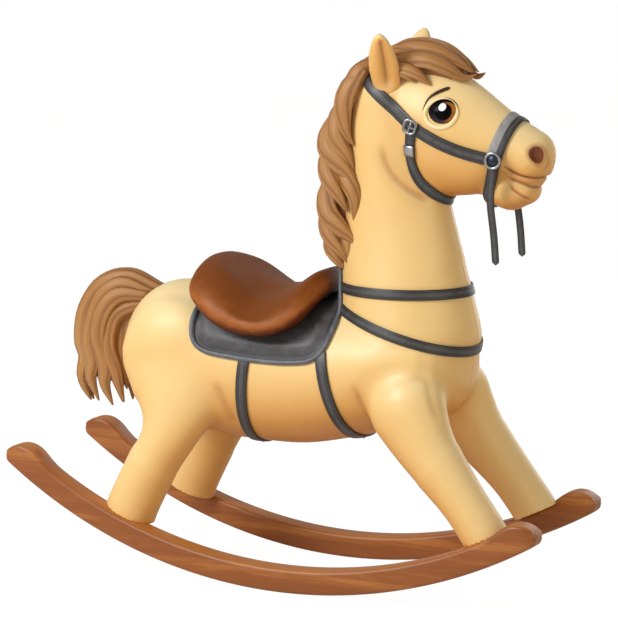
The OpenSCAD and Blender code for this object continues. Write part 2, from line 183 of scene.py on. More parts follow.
def skin(bm, rows, closed=True, loop=False, shades=None):
    """A surface through rows of points. Its UV map holds the metres along and the share across,
    and its shade attribute says how far each place is darkened. A loop joins its ends."""
    uv = bm.loops.layers.uv.verify()
    shade = bm.verts.layers.float.get("shade") or bm.verts.layers.float.new("shade")
    old = set(bm.faces)
    share = len(rows[0]) if closed else len(rows[0]) - 1
    row = first_row(bm, rows[0], closed)
    start, along, where = row, 0.0, {}
    for i, places in enumerate(rows):
        if i:
            row = next_row(bm, row, places, closed)
            along += sum((b - a).length for a, b in zip(rows[i - 1], places)) / len(places)
        for k, v in enumerate(row):
            where[v] = (along, k / share)
            if shades:
                v[shade] = shades[i][k]
    if loop:
        bmesh.ops.bridge_loops(bm, edges=edges_of(bm, row, closed) + edges_of(bm, start, closed))
    elif closed:
        bm.faces.new(start)
        bm.faces.new(row)
    for face in bm.faces:
        if face in old:
            continue
        spots = [where[l.vert] for l in face.loops]
        wide = max(s[1] for s in spots) - min(s[1] for s in spots) > 0.5
        for l, (u, v) in zip(face.loops, spots):
            l[uv].uv = (u, v + 1 if wide and v < 0.5 else v)
    return bm


def baked(thing):
    """The mesh of an object after its modifiers; the object is removed."""
    bm = bmesh.new()
    bm.from_object(thing, bpy.context.evaluated_depsgraph_get())
    bpy.data.objects.remove(thing)
    return bm


def shown(name, bm):
    mesh = bpy.data.meshes.new(name)
    bm.to_mesh(mesh)
    bm.free()
    thing = bpy.data.objects.new(name, mesh)
    bpy.context.scene.collection.objects.link(thing)
    return thing


def remeshed(bm, voxel):
    thing = shown("work", bm)
    modifier = thing.modifiers.new("Remesh", "REMESH")
    modifier.mode = "VOXEL"
    modifier.voxel_size = voxel * MM
    return baked(thing)


def relax(bm, times, verts=None, factor=0.5):
    for _ in range(times):
        bmesh.ops.smooth_vert(bm, verts=verts or bm.verts[:], factor=factor,
                              use_axis_x=True, use_axis_y=True, use_axis_z=True)


def copy_of(node):
    """A CAD node's mesh, with its corners joined."""
    bm = bmesh.new()
    bm.from_mesh(frame["nodes"][node].data)
    bmesh.ops.remove_doubles(bm, verts=bm.verts[:], dist=0.02 * MM)
    for layer in bm.loops.layers.uv.values():
        bm.loops.layers.uv.remove(layer)
    return bm


def piece(name, bm, slot, body="horse", stands_for=None, closed=True):
    if closed:
        bmesh.ops.recalc_face_normals(bm, faces=bm.faces[:])
    for face in bm.faces:
        face.smooth = True
    thing = shown(name, bm)
    thing.data.materials.append(FINISH[slot])
    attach(thing, body)
    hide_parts(*([name] if stands_for is None else stands_for))
    return thing


def thicken(thing, thickness, offset=1, edge=0.6):
    solid = thing.modifiers.new("Solidify", "SOLIDIFY")
    solid.thickness = thickness * MM
    solid.offset = offset
    if edge:
        bevel = thing.modifiers.new("Bevel", "BEVEL")
        bevel.width = edge * MM
        bevel.segments = 2
        bevel.limit_method = "ANGLE"
        bevel.angle_limit = radians(50)
    return thing


# ---- Materials ----

def colour(text):
    """A linear colour from a written one, such as '#c08040'."""
    parts = [int(text[i:i + 2], 16) / 255 for i in (1, 3, 5)]
    return tuple(c / 12.92 if c <= 0.04045 else ((c + 0.055) / 1.055) ** 2.4 for c in parts) + (1,)


class Finish:
    """A material's nodes, added by short calls. A value may be a number or a node's socket."""

    def __init__(self, name, **settings):
        self.material = bpy.data.materials.new(name)
        self.material.use_nodes = True
        self.tree = self.material.node_tree
        self.shader = self.tree.nodes["Principled BSDF"]
        for key, value in settings.items():
            self.put(self.shader, key.replace("_", " ").title().replace("Ior", "IOR"), value)

    def put(self, node, name, value):
        socket = node.inputs[name]
        if isinstance(value, bpy.types.NodeSocket):
            self.tree.links.new(value, socket)
        else:
            socket.default_value = value

    def add(self, kind, inputs=(), **settings):
        node = self.tree.nodes.new("ShaderNode" + kind)
        for key, value in settings.items():
            setattr(node, key, value)
        for name, value in dict(inputs).items():
            self.put(node, name, value)
        return node

    def space(self, scale=(1, 1, 1), kind="Object"):
        where = self.add("TexCoord").outputs[kind]
        return self.add("Mapping", {"Vector": where, "Scale": scale}).outputs["Vector"]

    def axes(self, vector):
        return self.add("SeparateXYZ", {"Vector": vector}).outputs

    def maths(self, operation, a, b=0.0, c=0.0, clamp=False):
        return self.add("Math", {0: a, 1: b, 2: c}, operation=operation,
                        use_clamp=clamp).outputs[0]

    def times(self, a, b):
        return self.maths("MULTIPLY", a, b)

    def noise(self, vector, scale, detail=3.0, roughness=0.5, distortion=0.0):
        return self.add("TexNoise", {"Vector": vector, "Scale": scale, "Detail": detail,
                                     "Roughness": roughness,
                                     "Distortion": distortion}).outputs["Fac"]

    def cells(self, vector, scale, feature="F1"):
        return self.add("TexVoronoi", {"Vector": vector, "Scale": scale},
                        feature=feature).outputs["Distance"]

    def fit(self, value, low, high, to_low=0.0, to_high=1.0):
        return self.add("MapRange", {"Value": value, "From Min": low, "From Max": high,
                                     "To Min": to_low, "To Max": to_high},
                        interpolation_type="SMOOTHSTEP").outputs["Result"]

    def ramp(self, value, stops):
        node = self.add("ValToRGB", {"Fac": value})
        ramp = node.color_ramp
        while len(ramp.elements) < len(stops):
            ramp.elements.new(0.5)
        for element, (place, text) in zip(ramp.elements, stops):
            element.position = place
            element.color = colour(text)
        return node.outputs["Color"]

    def mix(self, a, b, factor, blend="MIX"):
        a, b = (colour(x) if isinstance(x, str) else x for x in (a, b))
        return self.add("Mix", {0: factor, 6: a, 7: b}, data_type="RGBA",
                        blend_type=blend).outputs[2]

    def attribute(self, name):
        return self.add("Attribute", attribute_name=name).outputs["Fac"]

    def facing_up(self):
        normal = self.add("NewGeometry").outputs["Normal"]
        return self.maths("MULTIPLY_ADD", self.axes(normal)["Z"], 0.5, 0.5)

    def disc(self, centre, radius, soft=0.4, tall=1.0):
        """One inside a disc about a place in X and Z, and zero outside it."""
        scale = (1, 0, 1 / tall)
        offset = (-centre[0] * MM, 0, -centre[1] * MM / tall)
        place = self.add("VectorMath", {0: self.space(), 1: scale, 2: offset},
                         operation="MULTIPLY_ADD").outputs[0]
        gap = self.add("VectorMath", {0: place}, operation="LENGTH").outputs["Value"]
        return self.fit(gap, (radius - soft) * MM, (radius + soft) * MM, 1.0, 0.0)

    def bump(self, height, depth, strength=1.0, under=None):
        inputs = {"Height": height, "Strength": strength, "Distance": depth * MM}
        if under:
            inputs["Normal"] = under
        return self.add("Bump", inputs).outputs["Normal"]

    def done(self, base, roughness=None, normal=None):
        self.put(self.shader, "Base Color", base)
        if roughness is not None:
            self.put(self.shader, "Roughness", roughness)
        if normal is not None:
            self.put(self.shader, "Normal", normal)
        return self.material


def body_paint():
    """Cream satin enamel with painted light and shade: lighter on upward faces, warmer and darker on
    downward ones, and painted shade in the folds and the nostrils.
    """
    f = Finish("body_paint", subsurface_weight=0.12, subsurface_scale=0.012,
               subsurface_radius=(1.0, 0.45, 0.2), coat_weight=0.08, coat_roughness=0.4)
    where = f.space()
    up = f.maths("ADD", f.facing_up(), f.times(f.noise(where, 7), 0.1))
    # Painted light and shade: warm brown on downward faces, rising to pale cream on upward ones.
    base = f.ramp(up, [(0.05, "#c47a2e"), (0.36, "#e2a95b"), (0.66, "#f3cc88"), (1.0, "#fbe1aa")])
    # Painted shade where the shade attribute marks it: in the folds, around the nostrils, in the
    # ears' hollows, and along the darker seam line.
    base = f.mix(base, "#96501c", f.attribute("shade"))
    # Painted shade inside the nostrils.
    base = f.mix(base, "#74330a", f.attribute("nostril_shade"))
    fine = f.noise(where, 420, 2)
    return f.done(base, f.fit(f.noise(where, 30), 0, 1, 0.36, 0.5), f.bump(fine, 0.12, 0.25))


def eye_glass():
    """Glass eye: a dark rim, an amber iris painted lighter towards the front as painted light, a
    pupil and a white painted highlight for the glint.
    """
    f = Finish("eye_glass", roughness=0.3, specular_ior_level=0.08)
    x, z = EYE.x + 6, EYE.z - 1
    place = f.axes(f.space())
    forward = f.fit(place["X"], (x - 6) * MM, (x + 12) * MM)
    low = f.fit(place["Z"], (z + 2) * MM, (z - 18) * MM)
    fibres = f.noise(f.space(), 260, 3, 0.6)
    amber = f.ramp(fibres, [(0.3, "#9a5a20"), (0.7, "#c9853a")])
    # Painted light in the iris: dark at the back, amber towards the front.
    base = f.mix("#0d0b14", amber, forward)
    base = f.mix(base, "#3a3440", f.times(low, f.maths("SUBTRACT", 1.0, forward)))
    base = f.mix(base, "#030204", f.disc((x + 0.5, z + 1.0), 12.6, 0.8))
    base = f.mix("#060404", base, f.disc((x, z - 3), 21.2, 0.8, 0.88))
    # Painted highlight: the white glint.
    base = f.mix(base, "#ffffff", f.disc((x - 1, z + 8), 5.6, 0.6))
    return f.done(base)


def painted(name, base, tone):
    f = Finish(name, coat_weight=0.1, coat_roughness=0.3)
    where = f.space()
    return f.done(f.mix(base, tone, f.fit(f.noise(where, 60), 0.35, 0.75)), 0.42,
                  f.bump(f.noise(where, 500, 2), 0.1, 0.3))


def hair():
    """Combed hair: fine streaks along each lock, with painted shade between the strands, near the
    locks' roots and on the core beneath them.
    """
    f = Finish("hair", sheen_weight=0.15, sheen_roughness=0.4)
    streaks = f.noise(f.space((9, 46, 1), "UV"), 1.0, 5, 0.65, 0.3)
    broad = f.noise(f.space((6, 7, 1), "UV"), 1.0, 2)
    tone = f.maths("ADD", f.times(streaks, 0.55), f.times(broad, 0.45))
    base = f.ramp(tone, [(0.28, "#8a5526"), (0.5, "#b07c43"), (0.7, "#cb9a5f")])
    # Painted shade from the shade attribute: between the strands, near the roots and on the core.
    base = f.mix(base, "#6b3b17", f.maths("MINIMUM", f.attribute("shade"), 0.9))
    normal = f.bump(streaks, 1.2, 0.55)
    return f.done(base, f.fit(streaks, 0.3, 0.7, 0.62, 0.42), normal)


def hide_grain(f, scale, depth, strength=0.5):
    """Leather's pebbled grain, with a few broad creases."""
    where = f.space()
    pebbles = f.cells(where, scale)
    creases = f.noise(where, scale / 14, 4, 0.6, 1.2)
    height = f.maths("ADD", pebbles, f.times(creases, 1.6))
    return creases, f.bump(height, depth, strength)


def saddle_leather():
    f = Finish("saddle_leather", coat_weight=0.08, coat_roughness=0.35, specular_ior_level=0.12)
    creases, normal = hide_grain(f, 620, 0.3, 0.35)
    # Painted light and shade by facing: dark on downward faces, a painted highlight band on the
    # upper side, a little darker again on top.
    up = f.maths("ADD", f.facing_up(), f.times(creases, 0.25))
    base = f.ramp(up, [(0.2, "#3a1806"), (0.5, "#6a3210"), (0.74, "#a5602c"), (1.0, "#7c4219")])
    # Painted shade where the shade attribute marks it.
    base = f.mix(base, "#2a1207", f.attribute("shade"))
    return f.done(base, f.fit(creases, 0.2, 0.8, 0.4, 0.52), normal)


def dark_leather(name, base, light, grain=700, coat=0.12):
    f = Finish(name, coat_weight=coat, coat_roughness=0.35)
    creases, normal = hide_grain(f, grain, 0.35, 0.5)
    tone = f.mix(base, light, f.fit(creases, 0.3, 0.8))
    tone = f.mix(tone, "#17171a", f.attribute("shade"))
    return f.done(tone, f.fit(creases, 0.2, 0.8, 0.42, 0.6), normal)


def strap_leather():
    """Bridle leather: darker along the edges, a painted highlight along the crowned middle broken up
    by the creases, and a row of stitches along each edge.
    """
    f = Finish("strap_leather", coat_weight=0.15, coat_roughness=0.3)
    creases, grain = hide_grain(f, 800, 0.25, 0.4)
    place = f.axes(f.space(kind="UV"))
    off = f.maths("ABSOLUTE", f.maths("SUBTRACT", place["Y"], 0.5))
    # Painted highlight along the strap's crowned middle, broken up by the creases.
    crown_highlight = f.times(f.fit(off, 0.26, 0.1), f.fit(creases, 0.25, 0.7, 0.35, 1.0))
    base = f.mix("#292829", "#4f4d50", crown_highlight)
    base = f.mix(base, "#191717", f.fit(off, 0.38, 0.46))
    line = f.maths("LESS_THAN", f.maths("ABSOLUTE", f.maths("SUBTRACT", off, 0.37)), 0.022)
    dash = f.maths("LESS_THAN", f.maths("FRACT", f.times(place["X"], 250.0)), 0.62)
    stitch = f.times(line, dash)
    base = f.mix(base, "#6d6a68", f.times(stitch, 0.6))
    normal = f.bump(stitch, 0.4, 0.8, grain)
    return f.done(base, f.fit(creases, 0.2, 0.8, 0.38, 0.55), normal)


def metal(name, base, roughness=0.22):
    f = Finish(name, metallic=1.0)
    where = f.space((60, 60, 900))
    scratches = f.noise(where, 1.0, 4, 0.7)
    tone = f.mix(base, "#75787e", f.fit(scratches, 0.55, 0.8, 0.0, 0.5))
    return f.done(tone, f.fit(scratches, 0.3, 0.7, roughness, roughness + 0.15),
                  f.bump(scratches, 0.1, 0.3))


def wood(name, dark, mid, light, ply=False, coat=0.12):
    """Long grain along X, with pores; upward faces are lightened as painted light, except on
    plywood, which shows its layers across Y.
    """
    f = Finish(name, coat_weight=coat, coat_roughness=0.25)
    rings = f.noise(f.space((2.2, 34, 34)), 1.0, 4, 0.55, 0.6)
    pores = f.noise(f.space((22, 420, 420)), 1.0, 3, 0.6)
    tone = f.maths("ADD", f.times(rings, 0.75), f.times(pores, 0.25))
    base = f.ramp(tone, [(0.3, dark), (0.5, mid), (0.7, light)])
    # Painted light: upward faces are lightened towards the light colour.
    lit = f.fit(f.facing_up(), 0.75, 1.0)
    base = f.mix(base, light, f.times(lit, 0.0 if ply else 0.7))
    if ply:
        layer = f.maths("FRACT", f.times(f.axes(f.space())["Y"], 250.0))
        base = f.mix(base, dark, f.times(f.maths("GREATER_THAN", layer, 0.5), 0.5))
    return f.done(base, f.fit(tone, 0.3, 0.7, 0.38, 0.5), f.bump(tone, 0.25, 0.25))


FINISH = {
    "rocker_wood": wood("rocker_wood", "#7f4212", "#93511a", "#bf7a36"),
    "body_paint": body_paint(),
    "plywood": wood("plywood", "#a98a5c", "#c9ab7c", "#dcc296", ply=True, coat=0.0),
    "post_wood": wood("post_wood", "#94703f", "#b48e5a", "#c9a673", coat=0.0),
    "steel": metal("steel", "#b9bcc2", 0.3),
    "eye_glass": eye_glass(),
    "lid_paint": painted("lid_paint", "#f9e6b4", "#f2d696"),
    "brow_paint": painted("brow_paint", "#2a140a", "#3a2012"),
    "hair": hair(),
    "saddle_leather": saddle_leather(),
    "pad_leather": dark_leather("pad_leather", "#3c3b3d", "#57565a"),
    # The piping's lighter blue-grey is its own colour, and partly a painted sheen along the rolled
    # edge.
    "piping_leather": dark_leather("piping_leather", "#4c4f56", "#6c717a", coat=0.3),
    "strap_leather": strap_leather(),
    "liner_leather": dark_leather("liner_leather", "#8c8c8e", "#a9a9a9", 900),
    "silver_metal": metal("silver_metal", "#a6a8ad"),
    "dark_metal": metal("dark_metal", "#3d4350", 0.3),
}


# ---- The horse's form ----

def station_rows(stations, tail, nose, sides=44, steps=6, side=0):
    """Rings through the stations, with a rounded end of the given length at each end.
    A side, 1 or -1, sets them off the middle plane by their sixth number."""
    body = smooth_line(stations, steps)
    tips = (84, 68, 52, 36, 18)
    rings = [(body[0], -tail * sin(radians(a)), cos(radians(a))) for a in tips]
    rings += [(station, 0, 1) for station in body]
    rings += [(body[-1], nose * sin(radians(a)), cos(radians(a))) for a in reversed(tips)]
    rows = []
    for (x, z, heading, high, wide, *off), push, share in rings:
        c, s = cos(radians(heading)), sin(radians(heading))
        rows.append([])
        for a in turns(sides):
            lift = high * share * cos(a)
            y = wide * share * sin(a) + (side * off[0] if side else 0)
            rows[-1].append(Vector((x + c * push - s * lift, y, z + s * push + c * lift)) * MM)
    return rows


def near(bm, centre, radius):
    """The vertices within a ball about a place that is given for one side, and its mirror."""
    centre = folded(Vector(centre)) * MM
    return [v for v in bm.verts if (folded(v.co) - centre).length < radius * MM]


def horse_form():
    bm = bmesh.new()
    for stations, tail, nose in ((TORSO, 100, 78), (NECK, 60, 48), (HEAD, 60, 34), (CHIN, 24, 24)):
        skin(bm, station_rows(stations, tail, nose))
    for stations, top in ((HIND_LEG, 94), (FORE_LEG, 62)):
        for side in SIDES.values():
            skin(bm, station_rows(stations, 40, top, 36, side=side))
    bmesh.ops.recalc_face_normals(bm, faces=bm.faces[:])
    bm = remeshed(bm, 4.0)
    relax(bm, 5)
    for centre, radius, times in (((-150, 96, 240), 95, 40), ((215, 96, 270), 95, 40),
                                  ((280, 0, 420), 95, 50), ((95, 0, 450), 80, 40),
                                  ((250, 0, 610), 60, 25), ((110, 0, 780), 50, 20),
                                  ((350, 30, 645), 40, 10), ((-200, 60, 400), 90, 20)):
        relax(bm, times, near(bm, centre, radius))
    relax(bm, 2)
    return bm


def cut_feet(bm):
    """Ends the legs on the rockers' upper side."""
    for end, foot in FEET.items():
        down = (Vector((foot.x, 0, foot.z)) - ARC_CENTRE).normalized()
        sole = (ARC_CENTRE + down * (ROCK_RADIUS - ROCKER_DEPTH - 0.3)) * MM
        way = 1 if end == "front" else -1
        faces = [f for f in bm.faces if f.calc_center_median().z < 0.2
                 and f.calc_center_median().x * way > 0.12]
        geom = set(faces) | {e for f in faces for e in f.edges} | {v for f in faces for v in f.verts}
        bmesh.ops.bisect_plane(bm, geom=list(geom), plane_co=sole, plane_no=down,
                               clear_outer=True)
    bmesh.ops.holes_fill(bm, edges=[e for e in bm.edges if e.is_boundary], sides=0)
    return bm


def side_hit(tree, x, z, side=-1):
    return tree.ray_cast(Vector((x * MM, side, z * MM)), Vector((0, -side, 0)))[0]


def side_path(tree, guide, count=60):
    """Points on the right side of a surface, over a line in X and Z.
    A line that runs past the outline ends in the middle plane."""
    line = evenly(side_line(guide), 160)
    hits, last = [], None
    for p in line:
        hit = side_hit(tree, p.x, p.z)
        if hit is None and last is None:
            continue
        if hit is None:
            inside, outside = last, p
            for _ in range(24):
                middle = inside.lerp(outside, 0.5)
                if side_hit(tree, middle.x, middle.z) is None:
                    outside = middle
                else:
                    inside = middle
            for step in range(1, 9):
                q = last.lerp(inside, 1 - 0.45 ** step)
                hits.append(side_hit(tree, q.x, q.z))
            end = hits[-1].copy()
            end.y = 0
            hits.append(end)
            break
        hits.append(hit)
        last = p
    return evenly(hits, count)


# Folds: a line in X and Z, its width, its depth and how much painted shade it gets.
FOLDS = [
    ([(356, 663), (366, 656), (378, 650), (392, 646), (406, 644.5), (425, 647)], 2.8, 3.6, 1.0),
    ([(414, 694), (418, 684), (419, 668), (412, 653)], 3.0, 1.2, 0.4),
    ([(358, 646), (370, 641), (383, 637), (397, 631), (412, 628)], 2.4, 2.2, 0.8),
    ([(362, 636), (369, 627), (378, 620), (390, 611)], 2.4, 2.0, 0.7),
    ([(166, 690), (169, 674), (175, 658), (186, 641), (202, 626), (222, 612), (240, 602)],
     5.0, 3.0, 0.5),
    ([(236, 344), (250, 345), (262, 338), (270, 322), (278, 303), (285, 284)], 7.5, 2.0, 0.16),
    ([(143, 330), (148, 316), (155, 291), (163, 269), (174, 250)], 5.5, 2.4, 0.45),
    ([(-94, 314), (-84, 286), (-76, 258), (-73, 240)], 8.0, 2.0, 0.35),
]
NOSTRIL = Vector((407.5, -33, 681.5))


def fold_face(bm):
    """Presses the mouth's, jaw's and nostrils' folds into the form, and marks the painted shade in
    and around them.
    """
    shade = bm.verts.layers.float.new("shade")
    nostril_shade = bm.verts.layers.float.new("nostril_shade")
    tree = BVHTree.FromBMesh(bm)
    trees = []
    for guide, width, depth, tone in FOLDS:
        path = side_path(tree, guide, 120)
        trees.append((tree_of(path), width * MM, depth * MM, tone, path))

    def gap(v, kd):
        return kd.find(folded(v.co))[2]

    for reach in (9 * MM, 6 * MM):
        close = {v for v in bm.verts if v.co.x > 0.35 and v.co.z > 0.59
                 and (min(gap(v, entry[0]) for entry in trees[:5]) < reach
                      or (folded(v.co) - NOSTRIL * MM).length < 0.021)}
        edges = [e for e in bm.edges if e.verts[0] in close and e.verts[1] in close]
        bmesh.ops.subdivide_edges(bm, edges=edges, cuts=1, use_grid_fill=True, smooth=0.0)
    bm.normal_update()
    moves = {}
    for v in bm.verts:
        push = 0
        for kd, width, depth, tone, path in trees:
            _, index, away = kd.find(folded(v.co))
            if away > 4 * width:
                continue
            fade = min(1, 6 * index / len(path)) * (1 if path[-1].y > -1e-4
                                                    else min(1, 6 * (1 - index / len(path))))
            push += depth * fade * bell(away, width)
            # Painted shade along each fold, with a wider, fainter band beside it.
            v[shade] = max(v[shade], tone * fade * bell(away, width * 1.1),
                           0.3 * tone * fade * bell(away, width * 3))
        offset = folded(v.co) / MM - NOSTRIL
        tall = offset.z * 0.93 - offset.x * 0.36
        across = offset.x * 0.93 + offset.z * 0.36 + offset.y * 0.5
        spread = sqrt((tall / 14) ** 2 + (across / (13.5 + 0.2 * tall)) ** 2
                      + (offset.y / 40) ** 2)
        push += 6 * MM * (1 - eased(spread, 0.2, 1.1))
        # Painted shade inside the nostril, and a fainter painted shade around it.
        v[nostril_shade] = 1 - eased(spread, 0.88, 1.02)
        v[shade] = max(v[shade], 0.5 * (1 - eased(spread, 1.0, 1.5)))
        if push:
            moves[v] = v.co - v.normal * push
    for v, place in moves.items():
        v.co = place
    return bm


def cut_along(bm, y, way, **how):
    """Cuts the whole mesh in the plane at y, which faces way along Y."""
    bmesh.ops.bisect_plane(bm, geom=bm.verts[:] + bm.edges[:] + bm.faces[:],
                           plane_co=(0, y * MM, 0), plane_no=(0, way, 0), **how)


def half_shell(bm, side):
    """One half of the form, with a fine seam beside the middle plane."""
    half = bm.copy()
    for offset in (-SEAM_WIDE, SEAM_WIDE):
        cut_along(half, offset, 1)
    cut_along(half, 0, -side, clear_outer=True)
    half.normal_update()
    shade = half.verts.layers.float["shade"]
    for v in [v for v in half.verts if abs(v.co.y) < 0.02 * MM]:
        v.co -= Vector((v.normal.x, 0, v.normal.z)) * SEAM_DEEP * MM
        v[shade] = 0.35
    return half


FORM = fold_face(cut_feet(horse_form()))
FORM.normal_update()
SKIN = BVHTree.FromBMesh(FORM)
for hand, side in SIDES.items():
    shell = piece(f"body_shell_{hand}", half_shell(FORM, side), "body_paint", closed=False)
    thicken(shell, SHELL_WALL, offset=-1, edge=0)


def on_skin(place, lift=0.0):
    """The place on the skin nearest to the given one, raised by lift millimetres, and the normal."""
    spot, normal, _, _ = SKIN.find_nearest(place)
    return spot + normal * lift * MM, normal


def across_middle(near_side):
    """A path on the right side that ends in the middle plane, carried on over the left side."""
    return near_side + on_side(near_side[-2::-1], 1)


def both_sides(guide, count=60):
    """A path over the skin from a guide on the right side to its mirror on the left."""
    return across_middle(side_path(SKIN, guide, count))


def face_outwards(bm):
    """Turns the faces of an open sheet away from the skin below it."""
    bm.normal_update()
    bm.faces.ensure_lookup_table()
    middle = bm.faces[len(bm.faces) // 2]
    if middle.normal.dot(on_skin(middle.calc_center_median())[1]) < 0:
        bmesh.ops.reverse_faces(bm, faces=bm.faces[:])
    return bm


def smoothed(points, times=2, loop=False):
    for _ in range(times):
        if loop:
            points = [(points[i - 1] + points[i] * 2 + points[(i + 1) % len(points)]) / 4
                      for i in range(len(points))]
        else:
            points = [points[0]] + [(a + b * 2 + c) / 4 for a, b, c in
                                    zip(points, points[1:], points[2:])] + [points[-1]]
    return points


def headings(path, loop=False):
    n = len(path)
    if loop:
        return [(path[(i + 1) % n] - path[i - 1]).normalized() for i in range(n)]
    return [(path[min(i + 1, n - 1)] - path[max(i - 1, 0)]).normalized() for i in range(n)]


# ---- Straps ----

def strap(name, path, width, thick=3.0, lift=0.3, slot="strap_leather", shape=None, **how):
    """A flat strap that lies on the skin along a path, with a slightly crowned face."""
    path = smoothed(path, 3)
    normals = smoothed([on_skin(p)[1] for p in path], 6)
    rows, total, columns = [], len(path), 8
    for i, (p, way, normal) in enumerate(zip(path, headings(path), normals)):
        sideways = way.cross(normal).normalized()
        wide, rise = shape(i / (total - 1)) if shape else (1.0, 0.0)
        row = []
        for k in range(columns + 1):
            share = k / columns - 0.5
            spot, _ = on_skin(p + sideways * share * width * wide * MM)
            crown = 0.5 * (1 - (2 * share) ** 2)
            row.append(spot + normal.normalized() * (lift + rise + crown) * MM)
        rows.append(row)
    for k in range(columns + 1):
        for i, p in enumerate(smoothed([row[k] for row in rows], 3)):
            rows[i][k] = p
    bm = face_outwards(skin(bmesh.new(), rows, closed=False))
    return thicken(piece(name, bm, slot, closed=False, **how), thick)


GIRTHS = {"girth_front": [(86, 371), (100, 307), (124, 194)],
          "girth_rear": [(-43.5, 351.5), (-48, 300), (-58, 190)],
          "breast_strap_upper": [(92, 465), (200, 465), (310, 466)],
          "breast_strap_lower": [(99, 433), (200, 404), (330, 368)]}
for name, guide in GIRTHS.items():
    strap(name, both_sides(guide), GIRTH_WIDE if "girth" in name else BREAST_WIDE)

strap("crown_strap", both_sides([(224, 712.5), (170, 755), (60, 841)], 40), 19)
THROAT = [(216, 708), (213.5, 686), (213, 662), (222, 637), (238, 619), (256, 603), (270, 592)]
strap("throat_latch", both_sides(THROAT, 44), 17)
NOSE_WAY = Vector((0.309, 0, 0.951))
NOSE_BACK = Vector((-0.951, 0, 0.309))


def band_guide(offset, reach, start=-10):
    """A line round the nose from the ring, offset towards the ears, in X and Z."""
    places = [RING + NOSE_BACK * offset + NOSE_WAY * along for along in (start, reach / 2, reach)]
    return [(p.x, p.z) for p in places]


def from_ring(share):
    """A strap that rises off the skin to meet the ring at both of its ends."""
    end = min(share, 1 - share)
    return 1.0, 4.0 * bell(end, 0.09)


strap("noseband_liner", both_sides(band_guide(6.5, 80), 44), 14, 2.2,
      slot="liner_leather", shape=from_ring)
strap("noseband", both_sides(band_guide(-4.5, 80), 44), 10.5, 3.2, shape=from_ring)
CHIN_GUIDE = [(345, 669), (341, 655), (332, 632), (326, 612), (320, 585)]
strap("chin_strap", both_sides(CHIN_GUIDE, 40), 17, shape=from_ring)
for hand, side in SIDES.items():
    route = side_path(SKIN, [(222, 715), (263, 694.5), (301, 681), (338, 673)], 30)
    strap(f"cheek_strap_{hand}", on_side(route, side), 18,
          shape=lambda share: (1.0, 1.4 * bell(1 - share, 0.15)))


# ---- Buckles, rings and reins ----

def sweep(bm, path, ups, profile, loop=False, shades=None):
    """Carries a closed profile of (across, up) places along a path. One up may serve all of it."""
    rows = []
    ups = [ups] * len(path) if isinstance(ups, Vector) else ups
    for p, way, up in zip(path, headings(path, loop), ups):
        sideways = way.cross(up).normalized()
        up = sideways.cross(way)
        rows.append([p + (sideways * a + up * b) * MM for a, b in profile])
    return skin(bm, rows, loop=loop, shades=shades)


def oval(wide, high, sides=12):
    return [(wide / 2 * cos(a), high / 2 * sin(a)) for a in turns(sides)]


def rounded_square(side, corner, steps=6):
    """A square outline with round corners, about the origin, in two numbers to a point."""
    half = side / 2 - corner
    out = []
    for quarter, (x, z) in enumerate(((half, half), (-half, half), (-half, -half), (half, -half))):
        for step in range(steps + 1):
            a = pi / 2 * (quarter + step / steps)
            out.append((x + corner * cos(a), z + corner * sin(a)))
    return out


CHEEK_TURN = atan2(BUCKLE.z - RING.z, RING.x - BUCKLE.x)
for hand, side in SIDES.items():
    centre = Vector((BUCKLE.x, side * BUCKLE.y, BUCKLE.z)) * MM
    along = Vector((cos(CHEEK_TURN), 0, -sin(CHEEK_TURN)))
    high = Vector((sin(CHEEK_TURN), 0, cos(CHEEK_TURN)))
    outline = [centre + (along * a + high * b) * MM for a, b in rounded_square(19, 6)]
    bm = sweep(bmesh.new(), outline, Vector((0, side, 0)), oval(4.2, 3.6), True)
    bar = [centre + high * b * MM for b in (-9, -3, 3, 9)]
    sweep(bm, bar, Vector((0, side, 0)), oval(2.6, 2.6))
    piece(f"cheek_buckle_{hand}", bm, "silver_metal")

    ring_centre = Vector((RING.x, side * RING.y, RING.z)) * MM
    circle = [ring_centre + Vector((cos(a), 0, sin(a))) * 11.2 * MM for a in turns(56)]
    bm = sweep(bmesh.new(), circle, Vector((0, side, 0)), oval(4.6, 4.0, 14), True)
    piece(f"nose_ring_{hand}", bm, "silver_metal")

    dome = [(0.3, 2.2), (3, 2.0), (6, 1.2), (8.2, 0.2), (8.8, -1.4), (8.2, -1.8), (0.3, -1.8)]
    rows = [[ring_centre + Vector((r * cos(a), side * y, r * sin(a))) * MM for a in turns(28)]
            for r, y in dome]
    piece(f"nose_stud_{hand}", skin(bmesh.new(), rows), "dark_metal")

    keeper = [on_skin(p, 4.6) for p in side_path(SKIN, [(213.4, 690), (213, 674)], 5)]
    path, ups = (on_side(points, side) for points in zip(*keeper))
    block = [(-9.5, 0.2), (-9.3, 1.4), (-8, 2.2), (0, 2.8), (8, 2.2), (9.3, 1.4), (9.5, 0.2),
             (8, -0.6), (0, -0.2), (-8, -0.6)]
    piece(f"throat_keeper_{hand}", sweep(bmesh.new(), path, ups, block), "silver_metal")

# The reins hang from the studs inside the rings: width narrows downwards and the end is round.
for hand, side in SIDES.items():
    rows = []
    for step in range(41):
        t = step / 40
        down = -7 + (REIN_LONG + 7) * t
        wide = 7.2 - 1.6 * eased(t, 0.05, 0.35)
        end = min(down + 7, REIN_LONG - down)
        wide *= round_end(end, 6.5, 0.004)
        sway = 6.0 * t ** 2 - 5.0 * bell(t - 0.4, 0.25)
        rows.append([Vector((RING.x + wide * k / 4 + sway, side * REIN_Y, RING.z - down)) * MM
                     for k in range(-4, 5)])
    bm = skin(bmesh.new(), rows, closed=False)
    thicken(piece(f"rein_{hand}", bm, "strap_leather", f"rein_{hand}", closed=False),
            REIN_THICK, offset=0)


# ---- Eyes, lids, brows and ears ----

